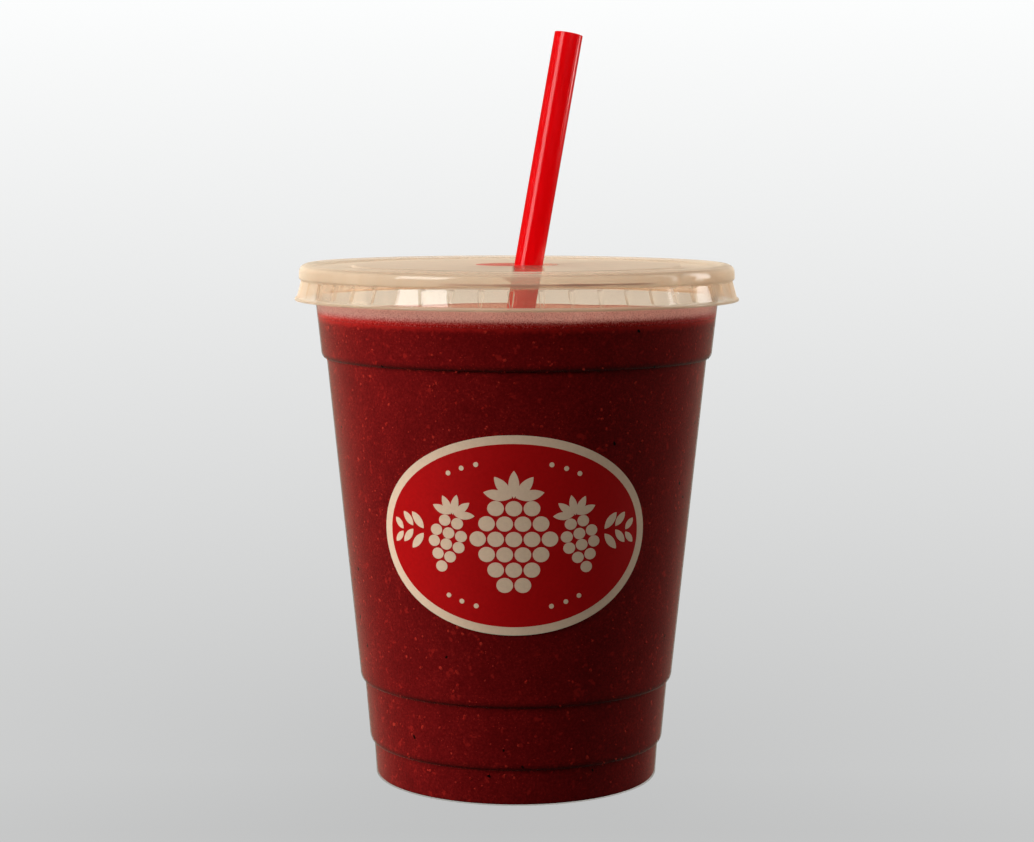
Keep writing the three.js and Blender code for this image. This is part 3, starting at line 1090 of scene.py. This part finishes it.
# ---- stage ----------------------------------------------------------------------------------

# metres
FLOOR_RADIUS = 2.6
FLOOR_Z = -0.0004
BACKDROP_HEIGHT = 3.2
SWEEP_ROUND = 1.2
HORIZON = 0.1402  # the painted light on floor and backdrop is dimmer below this height near the object and brighter above


def stage_material():
    """Pale floor and backdrop that glow with painted light of their own: dimmer near the object,
    white far off and high up. It is set out in display values, then turned into linear light."""
    n = Nodes("studio_paper")
    whitest, darkest = 0.998, 0.5
    at_horizon, fall = 0.9495, 0.625
    x, y = n.coordinate("x"), n.coordinate("y")
    radius = n.math("SQRT", n.math("ADD", n.math("MULTIPLY", x, x), n.math("MULTIPLY", y, y)))
    in_front = n.math("MULTIPLY", n.math("MAXIMUM", n.math("MINIMUM", y, 0.0), -0.05), 1.4)
    reach = n.math("ADD", n.math("ADD", n.math("MULTIPLY", radius, 1.02), 0.47), in_front)
    drop = n.math("DIVIDE", n.math("SUBTRACT", HORIZON, n.coordinate("z")), reach)
    display = n.math("SUBTRACT", at_horizon, n.math("MULTIPLY", drop, fall))
    display = n.math("MINIMUM", n.math("MAXIMUM", display, darkest), whitest)
    linear = n.math("POWER", n.math("DIVIDE", n.math("ADD", display, 0.055), 1.055), 2.4)
    shade = n.add("CombineColor", i0=n.math("MULTIPLY", linear, 0.992), i1=linear, i2=linear)
    return n.done(n.add("Emission", Color=shade, Strength=1.0))


def build_stage():
    corners = [(0, FLOOR_Z, 0), (FLOOR_RADIUS, FLOOR_Z, SWEEP_ROUND), (FLOOR_RADIUS, BACKDROP_HEIGHT, 0)]
    profile = subdivided([(r / MM, z / MM) for r, z in rounded(corners, steps=16)], 150)
    vertices, faces = turned(profile, whole_turn(96))
    mesh = bpy.data.meshes.new("studio_sweep")
    mesh.from_pydata((vertices * MM).tolist(), [], faces)
    mesh.polygons.foreach_set("use_smooth", [True] * len(mesh.polygons))
    mesh.materials.append(stage_material())
    sweep = bpy.data.objects.new("studio_sweep", mesh)
    bpy.context.scene.collection.objects.link(sweep)
    sweep.visible_diffuse = False
    sweep.visible_glossy = False


# ---- camera and light -----------------------------------------------------------------------

CAMERA_DISTANCE = 0.5405
CAMERA_HEIGHT = 0.1402
CAMERA_PITCH = math.radians(6.10)
CAMERA_ROLL = math.radians(-0.1)
CAMERA_LENS = 81.62  # millimetres, on a sensor 36 wide
LIGHT_AIM = Vector((0, 0, 0.075))


def build_camera():
    data = bpy.data.cameras.new("camera")
    data.sensor_width = 36
    data.lens = CAMERA_LENS
    camera = bpy.data.objects.new("camera", data)
    bpy.context.scene.collection.objects.link(camera)
    camera.location = (0, -CAMERA_DISTANCE, CAMERA_HEIGHT)
    camera.rotation_euler = (math.pi / 2 - CAMERA_PITCH, CAMERA_ROLL, 0)
    bpy.context.scene.camera = camera


def add_softbox(
    name, azimuth, elevation, width, height, power, distance=1.0, glossy=True, only=None, but=None
):
    """An area light aimed at the cup's middle. Azimuth 0 is in front and +90 is to the right.
    `only` is the one piece that it lights, and `but` the one piece that it doesn't."""
    a, e = math.radians(azimuth), math.radians(elevation)
    away = Vector((math.sin(a) * math.cos(e), -math.cos(a) * math.cos(e), math.sin(e)))
    data = bpy.data.lights.new(name, "AREA")
    data.shape = "RECTANGLE"
    data.size, data.size_y = width, height
    data.energy = power
    light = bpy.data.objects.new(name, data)
    light.location = LIGHT_AIM + away * distance
    light.rotation_mode = "QUATERNION"
    light.rotation_quaternion = away.to_track_quat("Z", "Y")
    light.visible_camera = False
    light.visible_glossy = glossy
    bpy.context.scene.collection.objects.link(light)
    if only or but:
        lit = bpy.data.collections.new(name + "_lights")
        lit.objects.link(only or but)
        light.light_linking.receiver_collection = lit
    if but:
        lit.collection_objects[0].light_linking.link_state = "EXCLUDE"


def build_lights(straw):
    add_softbox("key_left_front", -51, 26, 0.48, 0.45, 4.6)
    add_softbox("side_left", -95, 18, 0.6, 0.5, 9.0, glossy=False)
    add_softbox("rim_left_back", -145, 15, 0.6, 0.45, 14.0, glossy=False, but=straw)
    add_softbox("side_right_back", 112, 17, 0.25, 0.5, 3.0)
    add_softbox("rim_right_back", 150, 15, 0.6, 0.45, 19.0, glossy=False, but=straw)
    add_softbox("front", 22, 34, 1.4, 0.9, 2.3, distance=1.3, glossy=False)
    add_softbox("top", 0, 86, 0.8, 0.8, 1.7, distance=1.1)
    add_softbox("strip_right", 88, 20, 0.07, 0.6, 0.5)
    add_softbox("straw_fill", 38, 34, 0.5, 0.5, 5.2, glossy=False, only=straw)


def build_air():
    """Faint warm light from all round, dark in front and strongest behind the cup."""
    world = bpy.data.worlds.new("studio_air")
    bpy.context.scene.world = world
    world.use_nodes = True
    tree = world.node_tree
    background = tree.nodes["Background"]
    background.inputs["Color"].default_value = (1, 0.93, 0.76, 1)
    toward = tree.nodes.new("ShaderNodeTexCoord")
    parts = tree.nodes.new("ShaderNodeSeparateXYZ")
    backward = tree.nodes.new("ShaderNodeMapRange")
    backward.inputs["From Min"].default_value = -1
    curve = tree.nodes.new("ShaderNodeMath")
    curve.operation = "POWER"
    curve.inputs[1].default_value = 1.5
    strength = tree.nodes.new("ShaderNodeMath")
    strength.operation = "MULTIPLY"
    strength.inputs[1].default_value = 0.16
    tree.links.new(toward.outputs["Generated"], parts.inputs[0])
    tree.links.new(parts.outputs["Y"], backward.inputs["Value"])
    tree.links.new(backward.outputs[0], curve.inputs[0])
    tree.links.new(curve.outputs[0], strength.inputs[0])
    tree.links.new(strength.outputs[0], background.inputs["Strength"])


def set_look():
    scene = bpy.context.scene
    scene.view_settings.view_transform = "Standard"
    scene.view_settings.look = "None"
    scene.cycles.use_denoising = True
    scene.cycles.transparent_max_bounces = 40
    scene.cycles.max_bounces = 10


# ---- all of it ------------------------------------------------------------------------------

build_camera()
build_cup()
build_drink()
straw_piece = build_straw()
lid_look = lid_material()
build_lid(lid_look)
build_flaps(lid_look)
build_pool_and_painted_reflection()
build_froth()
build_pulp()
build_seeds()
label_cream = paper_material("label_cream", (0.91, 0.66, 0.46), (0.98, 0.73, 0.52), 0.4)
build_label(label_cream)
build_print(label_cream)
build_stage()
build_lights(straw_piece)
build_air()
set_look()

bpy.context.view_layer.update()
